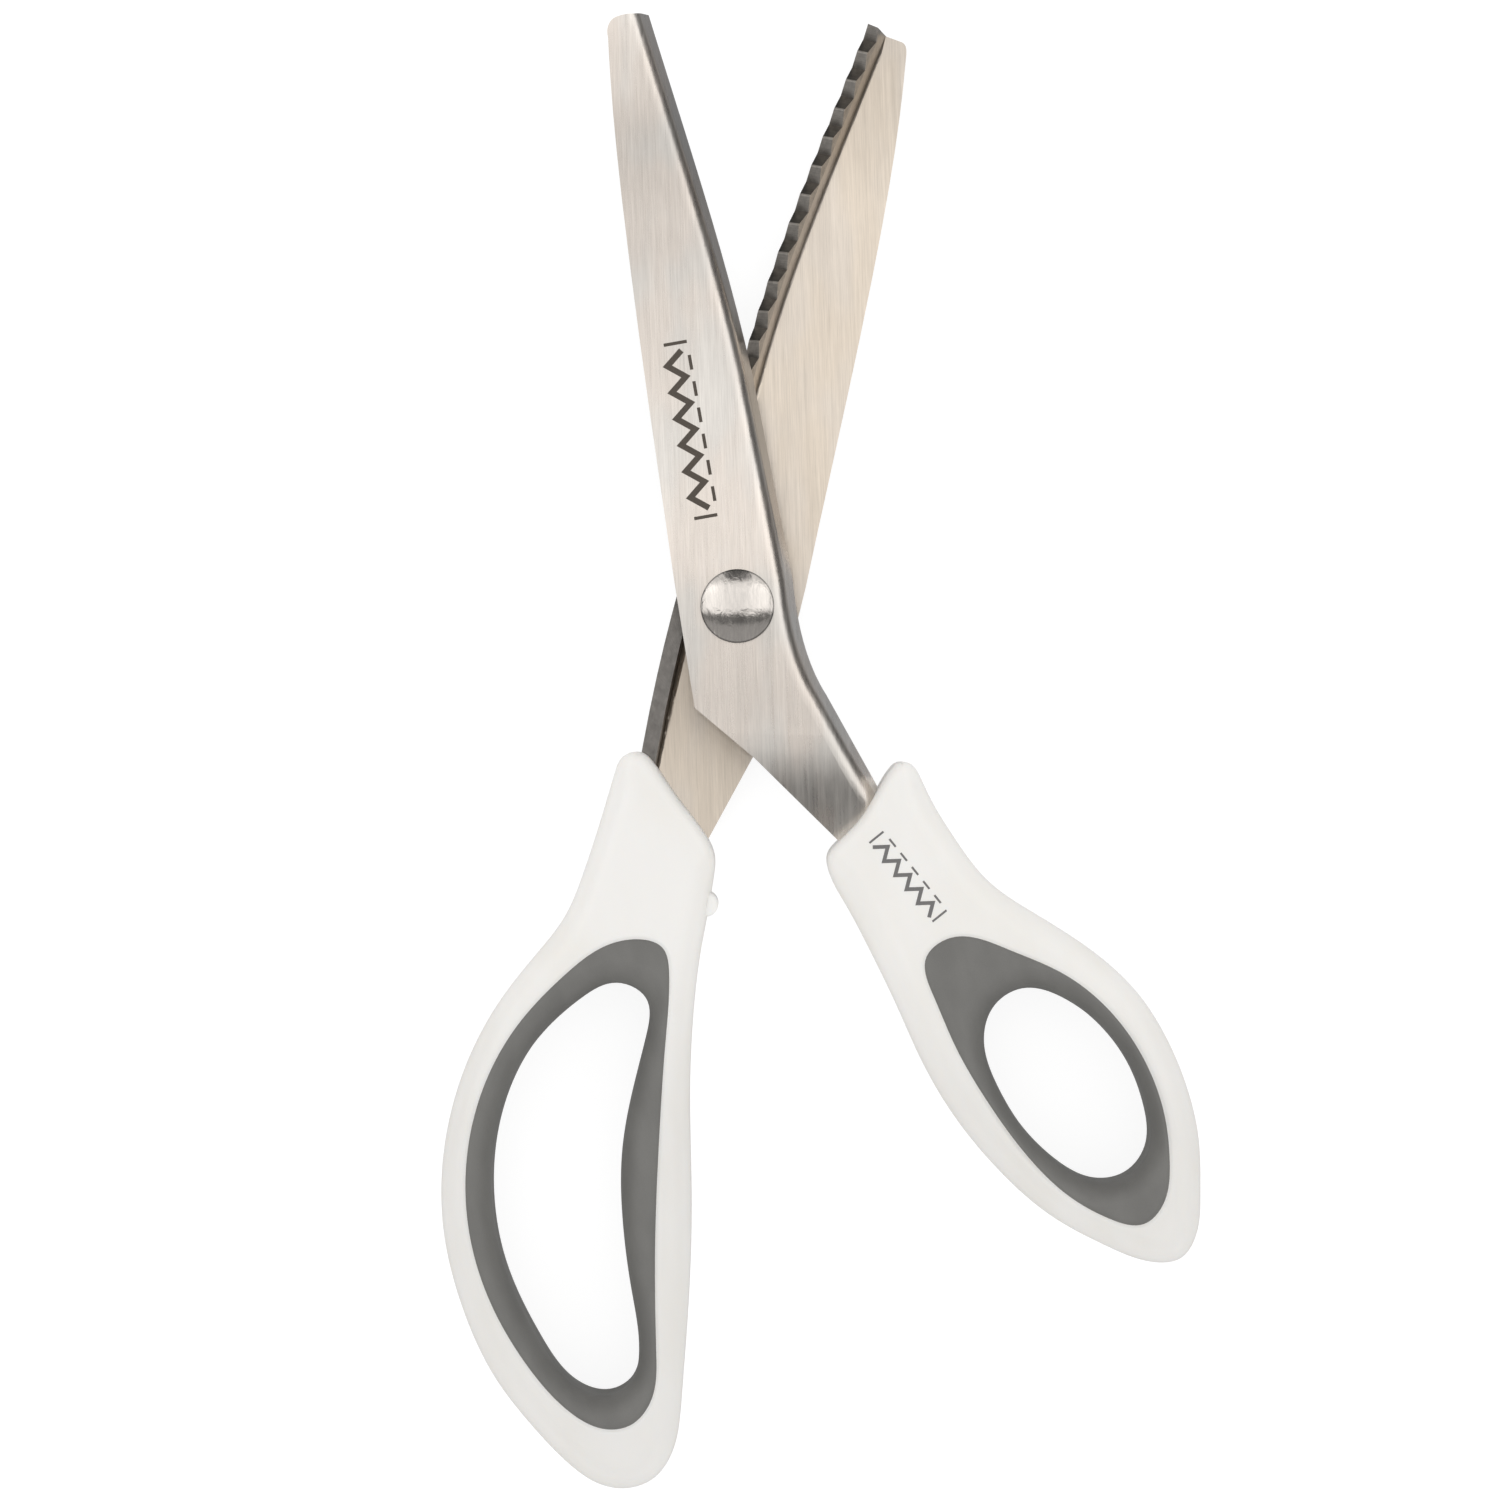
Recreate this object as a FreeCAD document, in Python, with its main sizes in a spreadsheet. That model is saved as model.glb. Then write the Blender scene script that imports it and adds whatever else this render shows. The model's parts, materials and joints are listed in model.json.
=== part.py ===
"""Pinking shears: two pressed steel halves with toothed edges, moulded handles and a post-screw pivot.

Frame: origin on the pivot axis at the underside of the pivot nut, +Z up along the pivot screw
towards its domed head, +Y along the shears towards the tips. Millimetres.

Each half is drawn lying with its outer face up: z = 0 is the plane where the two halves meet,
+Z goes out through the steel, +Y runs to the tip and +X is the side of the cutting flange.
place_half() then turns the upper half to its place and turns the lower half over.
"""
import FreeCAD, Part
import math
import os

Vector = FreeCAD.Vector
Z_AXIS = Vector(0, 0, 1)
Y_AXIS = Vector(0, 1, 0)

DIMENSIONS = {
    # steel halves
    "sheet_thick": 2.0,
    "half_depth": 6.2,
    "flange_flare": 18.0,
    "lower_lip_flare": 4.0,
    "tang_lip": 2.4,
    "tang_wall_flare": 5.0,
    "bend_radius": 2.8,
    "inner_bend": 0.8,
    "tang_drop": 4.0,
    "bend_length": 27.6,
    "upper_bend_start": 20.0,
    "lower_bend_start": 18.0,
    # teeth, concentric with the pivot
    "tooth_start": 12.2,
    "tooth_pitch": 4.80,
    "tooth_depth": 2.0,
    "valley_share": 0.56,
    "tooth_gap": 0.06,
    # pivot
    "post_radius": 3.5,
    "post_flats": 5.8,
    "post_gap": 0.04,
    "thread_radius": 2.0,
    "bush_radius": 4.1,
    "spacer_spine": 7.0,
    "spacer_flange": 4.9,
    "spacer_length": 14.0,
    "spacer_corner": 2.0,
    "washer_radius": 6.2,
    "washer_thick": 0.4,
    "face_gap": 0.02,
    "head_radius": 5.8,
    "head_rim": 0.5,
    "head_height": 2.1,
    "nut_flats": 8.0,
    "nut_thick": 0.9,
    "nut_chamfer": 0.25,
    "spring_radius": 5.2,
    "spring_thick": 0.22,
    # handles
    "handle_thick": 15.0,
    "handle_round": 2.6,
    "grip_round": 1.6,
    "stop_radius": 2.0,
    "stop_height": 9.0,
    "stop_round": 0.9,
    # assembly
    "mid_height": 7.5,
    "upper_turn": 10.0,
    "lower_turn": -14.5,
}

# Edges of the blades on the flange side, tip to the straight part by the pivot, at the foot of the
# flared wall, where the teeth begin.
UPPER_FLANGE = [(2.45, 95.0), (5.15, 74.0), (7.45, 54.0), (8.75, 36.0)]
LOWER_FLANGE = [(3.0, 94.9), (5.7, 74.0), (7.95, 54.0), (8.8, 36.0)]
# Plain spine edges, from beside the pivot to the tip.
UPPER_SPINE = [(-9.1, 6.0), (-8.1, 38.0), (-7.13, 60.0), (-5.87, 79.0), (-4.5, 91.9)]
LOWER_SPINE = [(-9.72, 6.0), (-8.5, 38.0), (-7.42, 60.0), (-5.85, 79.0), (-4.05, 92.0)]
UPPER_TIP = [(-4.5, 91.9), (-4.15, 93.6), (-3.3, 94.5), (-1.9, 94.85), (-0.9, 94.9)]
LOWER_TIP = [(-4.05, 92.0), (-3.78, 93.3), (-3.3, 94.05), (-2.75, 94.3)]

# Flange side of the tangs, pivot to the end inside the handle.
UPPER_TANG_FLANGE = [(9.4, 3.0), (9.2, -4.5), (10.1, -11.8), (11.5, -16.2)]
UPPER_TANG_END = (22.1, -46.8)
LOWER_TANG_FLANGE = [(9.65, 3.0), (9.75, -8.0), (9.33, -20.0), (8.53, -31.0)]
LOWER_TANG_END = (7.2, -49.5)
# Spine side of the tangs, end inside the handle back to the pivot.
UPPER_TANG_SPINE = [(16.2, -49.6), (9.2, -39.1), (-1.55, -24.0), (-9.4, -14.6)]
LOWER_TANG_SPINE = [(-2.4, -49.5), (-4.75, -36.7), (-8.3, -22.6), (-9.9, -12.0)]

# Directions in which the tangs bend towards the meeting plane.
UPPER_BEND_WAY = (-0.20, -0.98)
LOWER_BEND_WAY = (0.42, -0.907)

# Handle outlines, each a closed curve that starts at the horn beside the steel.
SMALL_HANDLE = [
    (22.7, -29.3), (20.9, -28.6), (19.2, -29.6), (16.9, -32.2), (13.2, -36.4), (9.0, -39.5),
    (7.3, -41.1), (7.0, -43.8), (8.6, -49.2), (11.4, -57.8), (14.0, -67.0), (16.6, -77.0), (20.4, -86.6),
    (25.6, -95.5), (32.1, -103.5), (40.1, -109.9), (46.9, -113.6), (51.2, -113.7), (54.1, -110.8),
    (56.1, -104.0), (57.3, -95.5), (57.0, -88.0), (55.0, -78.8), (51.8, -71.2), (46.0, -63.5),
    (38.0, -56.0), (31.5, -49.5), (27.6, -42.2), (24.7, -34.7), (23.7, -31.2)]
SMALL_GRIP = [
    (23.4, -57.3), (32.6, -60.6), (40.6, -66.0), (46.9, -73.3), (50.8, -81.9), (52.3, -91.3),
    (51.7, -98.4), (49.6, -104.3), (46.2, -106.8), (40.8, -105.0), (34.8, -100.0), (29.3, -92.1),
    (25.1, -83.4), (21.8, -74.4), (19.8, -66.1), (19.7, -59.5)]
THUMB_HOLE = [
    (33.9, -67.3), (40.4, -70.2), (45.3, -75.5), (48.6, -82.0), (50.0, -89.2), (49.1, -95.9),
    (45.2, -99.4), (40.2, -99.4), (34.6, -95.3), (30.3, -89.2), (27.3, -81.5), (26.5, -74.5),
    (29.2, -69.1)]
LARGE_HANDLE = [
    (12.2, -30.0), (11.6, -27.5), (8.9, -26.1), (6.3, -27.5), (1.5, -31.7), (-4.5, -36.6),
    (-6.4, -39.2),
    (-7.1, -42.6), (-7.6, -48.0), (-8.0, -54.0), (-9.0, -62.0), (-12.0, -76.6), (-16.4, -92.6),
    (-20.1, -108.7), (-22.9, -124.0), (-23.6, -131.5), (-21.9, -136.6), (-18.3, -139.3),
    (-14.0, -139.9), (-8.6, -138.2), (-1.4, -133.9), (6.6, -127.7), (14.5, -118.1), (20.3, -107.3),
    (23.4, -95.4), (23.7, -83.1), (21.2, -70.9), (17.1, -61.2), (14.3, -54.6), (13.1, -47.0),
    (12.45, -36.0)]
LARGE_GRIP = [
    (3.2, -55.0), (-2.1, -55.0), (-4.2, -59.0), (-6.2, -69.0), (-8.9, -83.3), (-12.6, -100.3),
    (-17.1, -117.0), (-18.2, -124.0), (-15.9, -129.0), (-12.5, -130.5), (-6.4, -129.4),
    (1.9, -124.1), (9.9, -116.1), (15.9, -106.5), (19.3, -95.6), (19.8, -84.3), (17.2, -73.1),
    (11.7, -62.9)]
FINGER_HOLE = [
    (3.6, -62.4), (-1.5, -63.6), (-3.0, -69.5), (-3.1, -79.0), (-3.9, -88.0), (-6.6, -98.2),
    (-10.9, -109.0), (-14.5, -118.3), (-14.5, -122.7), (-11.6, -125.8), (-6.8, -126.0),
    (1.1, -120.5), (9.8, -109.9), (14.5, -99.2), (16.2, -87.6), (14.3, -76.1), (8.3, -66.0)]
STOP_CENTRE = (-6.9, -46.8)

# Quarter rounds on the handles are drawn in this many steps, and at a sharp corner the outline
# moves in by this share of its own radius.
ROUNDING_STEPS = 4
CORNER_SHARE = 0.5

# Construction shapes run past the steel: this far around it, this far beyond its spine side,
# and down to this height under the meeting plane.
REACH = 130.0
OPEN_SIDE = 30.0
FLOOR = -5.0
# The tooth profile runs out to here from the pivot, past the tips.
TOOTH_REACH = 100.0
# A point this close to the flange line lies on the flange, and an edge that rises by more than
# this share of its length is an upright one.
FLANGE_NEAR = 0.6
UPRIGHT = 0.9

doc = FreeCAD.newDocument("pinking_shears")


def make_sheet():
    """Spreadsheet with the driving dimensions, one alias per row."""
    book = doc.addObject("Spreadsheet::Sheet", "dimensions")
    for row, (alias, value) in enumerate(DIMENSIONS.items(), start=1):
        book.set(f"A{row}", alias)
        book.set(f"B{row}", str(value))
        book.setAlias(f"B{row}", alias)
    doc.recompute()
    return book


sheet = make_sheet()


def size(alias):
    """Value of one driving dimension."""
    return float(sheet.get(alias))


def bind(thing, path, formula):
    """Tie a property to a formula, in which $ marks the name of a dimension."""
    thing.setExpression(path, formula.replace("$", "dimensions."))


def flat(points, height=0.0):
    return [Vector(x, y, height) for x, y in points]


def shifted(points, inward, tang_inward):
    """Points of a flange edge moved square to the edge, towards the spine.

    The points of the blade and those of the tang each have their own distance.
    """
    moved = []
    for index, (x, y) in enumerate(points):
        before = points[max(index - 1, 0)]
        after = points[min(index + 1, len(points) - 1)]
        run = Vector(after[0] - before[0], after[1] - before[1], 0).normalize()
        step = inward if index < len(UPPER_FLANGE) else tang_inward
        moved.append((x + run.y * step, y - run.x * step))
    return moved


def curve(points, height=0.0, closed=False):
    """Smooth curve through the points."""
    spline = Part.BSplineCurve()
    spline.interpolate(flat(points, height), PeriodicFlag=closed)
    return spline


def line(start, end, height=0.0):
    return Part.LineSegment(Vector(*start, height), Vector(*end, height))


def sketch(name, geometry, placement=None):
    """Sketch of ready-made curves, in its own plane."""
    drawing = doc.addObject("Sketcher::SketchObject", name)
    if placement:
        drawing.Placement = placement
    drawing.addGeometry(geometry, False)
    return drawing


def at_height(height):
    return FreeCAD.Placement(Vector(0, 0, height), FreeCAD.Rotation())


# ---------------------------------------------------------------- steel halves

def flange_line(upper):
    """Foot of a half's flange wall, from the tip to the end of the tang."""
    if upper:
        return UPPER_FLANGE + UPPER_TANG_FLANGE + [UPPER_TANG_END]
    return LOWER_FLANGE + LOWER_TANG_FLANGE + [LOWER_TANG_END]


def blade_outline(upper, inward, tang_inward=None):
    """Closed outline of a half at one level, its flange side moved inward towards the spine.

    An outline with its own distance for the tang is the cavity's: it runs far past the spine
    and both ends.
    """
    cavity = tang_inward is not None
    blade_spine = UPPER_SPINE if upper else LOWER_SPINE
    tip = UPPER_TIP if upper else LOWER_TIP
    tang_spine = UPPER_TANG_SPINE if upper else LOWER_TANG_SPINE
    side = shifted(flange_line(upper), inward, tang_inward if cavity else inward)
    blade, tang, end = side[:4], side[4:8], side[8]
    straight = [blade[3], tang[0]]
    geometry = [curve(blade), line(*straight), curve(tang), line(tang[3], end)]
    if cavity:
        ring = [end, (end[0], -REACH), (-OPEN_SIDE, -REACH), (-OPEN_SIDE, REACH), (blade[0][0], REACH)]
        ring.append(blade[0])
        return geometry + [line(a, b) for a, b in zip(ring, ring[1:])]
    ring = [end] + tang_spine + [blade_spine[0]]
    geometry += [line(a, b) for a, b in zip(ring, ring[1:])]
    geometry += [curve(blade_spine), curve(tip), line(tip[-1], blade[0])]
    return geometry


def side_section(name, upper, inset):
    """Region under the plate's outer face in side view, drawn along the bend direction.

    The plate is level, then drops through two equal arcs to the tang. inset follows the same
    arcs further in, for the plate's inner face.
    """
    top = size("half_depth") - inset
    drop = size("tang_drop")
    length = size("bend_length")
    start = size("upper_bend_start" if upper else "lower_bend_start")
    radius = (length ** 2 + drop ** 2) / (4 * drop)
    half_turn = math.atan2(drop, length)
    outer_centre = Vector(start, size("half_depth") - radius, 0)
    inner_centre = Vector(start + length, size("half_depth") - drop + radius, 0)
    first = radius - inset
    second = radius + inset

    def on_first(angle):
        return outer_centre + Vector(math.sin(angle), math.cos(angle), 0) * first

    def on_second(angle):
        return inner_centre - Vector(math.sin(angle), math.cos(angle), 0) * second

    turn = 2 * half_turn
    crest = Part.Arc(on_first(0), on_first(half_turn), on_first(turn))
    sweep = Part.Arc(on_second(turn), on_second(half_turn), on_second(0))
    ring = [on_second(0), Vector(REACH, top - drop, 0), Vector(REACH, FLOOR, 0),
            Vector(-REACH, FLOOR, 0), Vector(-REACH, top, 0), on_first(0)]
    lines = [Part.LineSegment(a, b) for a, b in zip(ring, ring[1:])]
    way = Vector(*(UPPER_BEND_WAY if upper else LOWER_BEND_WAY), 0)
    across = way.cross(Z_AXIS)
    turned = FreeCAD.Rotation(way, Z_AXIS, across, "ZXY")
    return sketch(name, [crest, sweep] + lines, FreeCAD.Placement(Vector(0, 0, 0), turned))


def prism(name, drawing, length_formula):
    """Symmetric extrusion of a sketch."""
    solid = doc.addObject("Part::Extrusion", name)
    solid.Base = drawing
    solid.DirMode = "Normal"
    solid.Symmetric = True
    solid.Solid = True
    bind(solid, "LengthFwd", length_formula)
    return solid


def loft(name, sections):
    """Solid with straight sides between the sections."""
    solid = doc.addObject("Part::Loft", name)
    solid.Sections = sections
    solid.Solid = True
    solid.Ruled = True
    return solid


def common(name, first, second):
    """What two solids share, its faces left as they fall."""
    solid = doc.addObject("Part::Common", name)
    solid.Base = first
    solid.Tool = second
    solid.Refine = False
    return solid


def cut(name, base, tool):
    solid = doc.addObject("Part::Cut", name)
    solid.Base = base
    solid.Tool = tool
    return solid


def fuse(name, shapes):
    solid = doc.addObject("Part::MultiFuse", name)
    solid.Shapes = shapes
    return solid


def fillet(name, base, numbers, radius):
    """Fillet of the listed edges of base."""
    solid = doc.addObject("Part::Fillet", name)
    solid.Base = base
    solid.Edges = [(number, radius, radius) for number in numbers]
    return solid


def edges_where(thing, test):
    """Numbers of the edges whose middle point passes the test."""
    found = []
    for number, edge in enumerate(thing.Shape.Edges, start=1):
        middle = edge.valueAt((edge.FirstParameter + edge.LastParameter) / 2)
        if test(middle, edge):
            found.append(number)
    return found


def zigzag(upper):
    """Tooth profile against distance from the pivot, as (radius, height) points.

    The same zigzag separates both halves, so the lower half, drawn turned over, has it negated.
    """
    sign = 1 if upper else -1
    amplitude = size("tooth_depth") / 2
    pitch = size("tooth_pitch")
    radius = size("tooth_start")
    points = [(radius, 0.0)]
    while radius < TOOTH_REACH:
        points.append((radius + pitch * size("valley_share") / 2, sign * amplitude))
        points.append((radius + pitch * (1 + size("valley_share")) / 2, -sign * amplitude))
        radius += pitch
    return points


def tooth_cutter(name, upper):
    """Everything below the meeting surface: zigzag ahead of the pivot, flat behind it."""
    gap = size("tooth_gap")
    profile = [(radius, height + gap) for radius, height in zigzag(upper)]
    far = profile[-1][0]
    ring = [(0.0, 0.0), (profile[0][0] - gap, 0.0)] + profile + [(far, FLOOR), (0.0, FLOOR), (0.0, 0.0)]
    lines = [line(a, b) for a, b in zip(ring, ring[1:])]
    upright = FreeCAD.Placement(Vector(0, 0, 0), FreeCAD.Rotation(Vector(1, 0, 0), 90))
    ahead = doc.addObject("Part::Revolution", name + "_ahead")
    ahead.Source = sketch(name + "_profile", lines, upright)
    ahead.Axis = Z_AXIS
    ahead.Base = Vector(0, 0, 0)
    ahead.Angle = 180
    ahead.Solid = True
    behind = doc.addObject("Part::Box", name + "_behind")
    behind.Length = 2 * far
    behind.Width = far
    behind.Height = -FLOOR
    behind.Placement.Base = Vector(-far, -far, FLOOR)
    return fuse(name, [ahead, behind])


def foot_height():
    """Height of the foot of the flared wall, level with the tooth roots."""
    return size("tooth_depth") / 2 + size("tooth_gap")


def blade_form(side, upper):
    """Pressed half before its pivot hole: plate, flared flange, bent tang and teeth."""
    flare = math.tan(math.radians(size("flange_flare")))
    depth = size("half_depth")
    thick = size("sheet_thick")
    foot = foot_height()
    lip = 0.0 if upper else 2 * foot * math.tan(math.radians(size("lower_lip_flare")))
    wall = thick / math.cos(math.radians(size("flange_flare")))
    tang_flare = math.tan(math.radians(size("tang_wall_flare")))

    def level(part, height, inward):
        return sketch(f"{side}_{part}", blade_outline(upper, inward), at_height(height))

    def hollow_level(part, height):
        """The cavity's outline: its wall is parallel to the blade's flange, steeper on the tang."""
        on_blade = wall + (height - foot) * flare
        on_tang = size("tang_lip") + height * tang_flare
        return sketch(f"{side}_{part}", blade_outline(upper, on_blade, on_tang), at_height(height))

    blank = loft(side + "_blank", [
        level("blank_low", -foot, -2 * foot * flare), level("blank_high", depth, (depth - foot) * flare)])
    trim = loft(side + "_trim", [
        level("trim_low", -foot, -lip), level("trim_foot", foot, 0.0), level("trim_high", depth, 0.0)])
    face = prism(side + "_face", side_section(side + "_face_line", upper, 0), f"{2 * REACH}")
    outer = common(side + "_outer", blank, face)
    doc.recompute()

    rounded = round_crest(side + "_rounded", outer, upper, 0.0, size("bend_radius"))
    hollow = loft(side + "_hollow", [hollow_level("hollow_low", FLOOR), hollow_level("hollow_high", depth)])
    ceiling = prism(side + "_ceiling", side_section(side + "_ceiling_line", upper, thick), f"{2 * REACH}")
    cavity = common(side + "_cavity", hollow, ceiling)
    doc.recompute()
    trimmed = common(side + "_trimmed", rounded, trim)
    bay = round_crest(side + "_bay", cavity, upper, wall, size("inner_bend"))
    shell = cut(side + "_shell", trimmed, bay)
    form = cut(side + "_form", shell, tooth_cutter(side + "_teeth", upper))
    doc.recompute()
    return form


def edge_rise(edge):
    """Share of an edge's run that is vertical."""
    ends = edge.Vertexes
    run = ends[-1].Point - ends[0].Point
    return run.z / run.Length if run.Length > 0 else 0.0


def on_flange_side(point, upper, inward):
    """True for a point on the flared flange wall, or on one further inward, whatever its height."""
    lean = (point.z - foot_height()) * math.tan(math.radians(size("flange_flare")))
    edge = shifted(flange_line(upper), inward + lean, inward + lean)
    spot = Part.Vertex(point.x, point.y, 0)
    runs = [Part.LineSegment(Vector(*a, 0), Vector(*b, 0)).toShape() for a, b in zip(edge, edge[1:])]
    return min(run.distToShape(spot)[0] for run in runs) < FLANGE_NEAR


def round_crest(name, block, upper, inward, radius):
    """Fillet of the bend line, where the plate's face meets the flange wall."""
    def bend_line(middle, edge):
        level = abs(edge_rise(edge)) < UPRIGHT
        return middle.z > 0 and level and on_flange_side(middle, upper, inward)

    return fillet(name, block, edges_where(block, bend_line), radius)


def place_half(thing, upper):
    """Put a piece drawn in its half's own frame at its place in the shears."""
    turn = size("upper_turn") if upper else size("lower_turn")
    rotation = FreeCAD.Rotation(Z_AXIS, turn)
    if not upper:
        rotation = rotation.multiply(FreeCAD.Rotation(Y_AXIS, 180))
    thing.Placement = FreeCAD.Placement(Vector(0, 0, size("mid_height")), rotation)
    bind(thing, "Placement.Base.z", "$mid_height")
    return thing


def hex_points(across):
    corner = across / math.sqrt(3)
    turns = [math.radians(60 * k) for k in range(6)]
    return [(corner * math.cos(turn), corner * math.sin(turn)) for turn in turns]


def cylinder(name, radius_formula, bottom, height_formula, centre=(0.0, 0.0)):
    """Upright cylinder; bottom is a formula for its lower face."""
    solid = doc.addObject("Part::Cylinder", name)
    bind(solid, "Radius", radius_formula)
    bind(solid, "Height", height_formula)
    solid.Placement.Base = Vector(*centre, 0)
    bind(solid, "Placement.Base.z", bottom)
    return solid


def double_d(name, bottom, height_formula):
    """Round post with two flats, which keys the screw to the upper half."""
    post = cylinder(name + "_round", "$post_radius", bottom, height_formula)
    flats = doc.addObject("Part::Box", name + "_flats")
    bind(flats, "Length", "$post_flats")
    bind(flats, "Width", "4 * $post_radius")
    bind(flats, "Height", height_formula)
    bind(flats, "Placement.Base.x", "-$post_flats / 2")
    bind(flats, "Placement.Base.y", "-2 * $post_radius")
    bind(flats, "Placement.Base.z", bottom)
    return common(name, post, flats)


def make_upper_blade(form):
    blade = cut("upper_blade", form, double_d("upper_keyhole", "0", "$half_depth + 1"))
    return place_half(blade, True)


def make_lower_blade(form):
    blade = cut("lower_blade", form, cylinder("lower_hole", "$bush_radius", "0", "$half_depth + 1"))
    return place_half(blade, False)


def spacer_block(name, bottom):
    """Steel block that fills the channel around the pivot, from the plate to the meeting plane."""
    block = doc.addObject("Part::Box", name)
    bind(block, "Length", "$spacer_spine + $spacer_flange")
    bind(block, "Width", "$spacer_length")
    bind(block, "Height", f"$half_depth - $sheet_thick - ({bottom})")
    bind(block, "Placement.Base.x", "-$spacer_spine")
    bind(block, "Placement.Base.y", "-$spacer_length / 2")
    bind(block, "Placement.Base.z", bottom)
    doc.recompute()
    upright = edges_where(block, lambda middle, edge: abs(edge_rise(edge)) > UPRIGHT)
    return fillet(name + "_rounded", block, upright, size("spacer_corner"))


def make_spacers():
    upper_bottom = "$washer_thick / 2 + $face_gap"
    keyed = double_d("upper_spacer_key", "0", "$half_depth")
    upper = cut("upper_spacer", spacer_block("upper_block", upper_bottom), keyed)
    bored = cylinder("lower_spacer_bore", "$bush_radius", "0", "$half_depth")
    lower = cut("lower_spacer", spacer_block("lower_block", "$washer_thick / 2"), bored)
    return [place_half(upper, True), place_half(lower, False)]


def make_bush():
    """Plain bearing pressed into the lower half, flush with its outer face."""
    length = "$half_depth - $washer_thick / 2"
    outside = cylinder("bush_outside", "$bush_radius", "$washer_thick / 2", length)
    inside = cylinder("bush_bore", "$post_radius + $post_gap", "0", "$half_depth + 1")
    return place_half(cut("pivot_bush", outside, inside), False)


def make_thrust_washer():
    outside = cylinder("washer_outside", "$washer_radius", "-$washer_thick / 2", "$washer_thick")
    inside = cylinder("washer_hole", "$post_radius + $post_gap", "-$washer_thick", "2 * $washer_thick")
    return place_half(cut("thrust_washer", outside, inside), False)


def origin_plane(body, role):
    return next(feature for feature in body.Origin.OriginFeatures if feature.Role == role)


def body_sketch(body, name, role, geometry):
    """Sketch on one of the body's own origin planes."""
    drawing = body.newObject("Sketcher::SketchObject", name)
    drawing.AttachmentSupport = [(origin_plane(body, role), "")]
    drawing.MapMode = "FlatFace"
    drawing.addGeometry(geometry, False)
    return drawing


def revolved_body(name, geometry):
    """PartDesign body turned about the pivot axis from a half section on its XZ plane."""
    body = doc.addObject("PartDesign::Body", name)
    section = body_sketch(body, name + "_section", "XZ_Plane", geometry)
    turned = body.newObject("PartDesign::Revolution", name + "_turned")
    turned.Profile = section
    turned.ReferenceAxis = (section, ["V_Axis"])
    turned.Angle = 360
    body.Tip = turned
    return body


def make_screw():
    """Domed head, keyed shoulder in the upper half, round post in the bush, threaded end."""
    head = size("head_radius")
    face = size("half_depth")
    rim = face + size("head_rim")
    crown = face + size("head_height")
    rise = crown - rim
    dome = (head ** 2 + rise ** 2) / (2 * rise)
    half = math.asin(head / dome) / 2
    shoulder = Vector(dome * math.sin(half), crown - dome + dome * math.cos(half), 0)
    section = [line((0, face), (head, face)), line((head, face), (head, rim)),
               Part.Arc(Vector(head, rim, 0), shoulder, Vector(0, crown, 0)), line((0, crown), (0, face))]
    cap = revolved_body("screw_head", section)
    keyed = double_d("screw_shoulder", "$washer_thick / 2 + $face_gap",
                     "$half_depth - $washer_thick / 2 - $face_gap")
    post = cylinder("screw_post", "$post_radius", "$nut_thick - $mid_height",
                    "$mid_height - $nut_thick + $washer_thick / 2 + $face_gap")
    thread = cylinder("screw_thread", "$thread_radius", "-$mid_height", "$nut_thick")
    return place_half(fuse("pivot_screw", [cap, keyed, post, thread]), True)


def make_nut():
    """Thin hexagon nut on the screw's end, its lower face in the resting plane."""
    corners = hex_points(size("nut_flats"))
    body = doc.addObject("PartDesign::Body", "nut_body")
    sides = [line(a, b) for a, b in zip(corners, corners[1:] + corners[:1])]
    drawing = body_sketch(body, "nut_hexagon", "XY_Plane", sides)
    pad = body.newObject("PartDesign::Pad", "nut_pad")
    pad.Profile = drawing
    bind(pad, "Length", "$nut_thick")
    body.Tip = pad
    doc.recompute()
    low_edges = edges_where(pad, lambda middle, edge: middle.z < size("nut_chamfer"))
    chamfer = body.newObject("PartDesign::Chamfer", "nut_chamfer")
    chamfer.Base = (pad, [f"Edge{number}" for number in low_edges])
    bind(chamfer, "Size", "$nut_chamfer")
    body.Tip = chamfer
    bind(body, "Placement.Base.z", "-$mid_height")
    bore = cylinder("nut_bore", "$thread_radius", "-$mid_height - 1", "$nut_thick + 2")
    return place_half(cut("pivot_nut", body, bore), True)


def make_spring_washer():
    """Shallow cone washer between the lower half and the nut."""
    inner = size("post_radius") + 2 * size("post_gap")
    outer = size("spring_radius")
    face = size("half_depth")
    thick = size("spring_thick")
    room = size("mid_height") - size("nut_thick") - face - size("face_gap")
    rise = room - thick
    ring = [(inner, face + rise), (outer, face), (outer, face + thick), (inner, face + room)]
    ring.append(ring[0])
    body = revolved_body("spring_washer", [line(a, b) for a, b in zip(ring, ring[1:])])
    return place_half(body, False)


def slab(name, points, length_formula):
    """Straight block with a smooth closed outline, centred on the meeting plane."""
    return prism(name, sketch(name + "_outline", [curve(points, closed=True)]), length_formula)


def rounding_steps(radius):
    """Quarter round as (step in from the side, step down from the face) pairs, face first."""
    turns = [math.radians(90 * k / ROUNDING_STEPS) for k in range(ROUNDING_STEPS + 1)]
    return [(radius * (1 - math.sin(turn)), radius * (1 - math.cos(turn))) for turn in turns]


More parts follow.
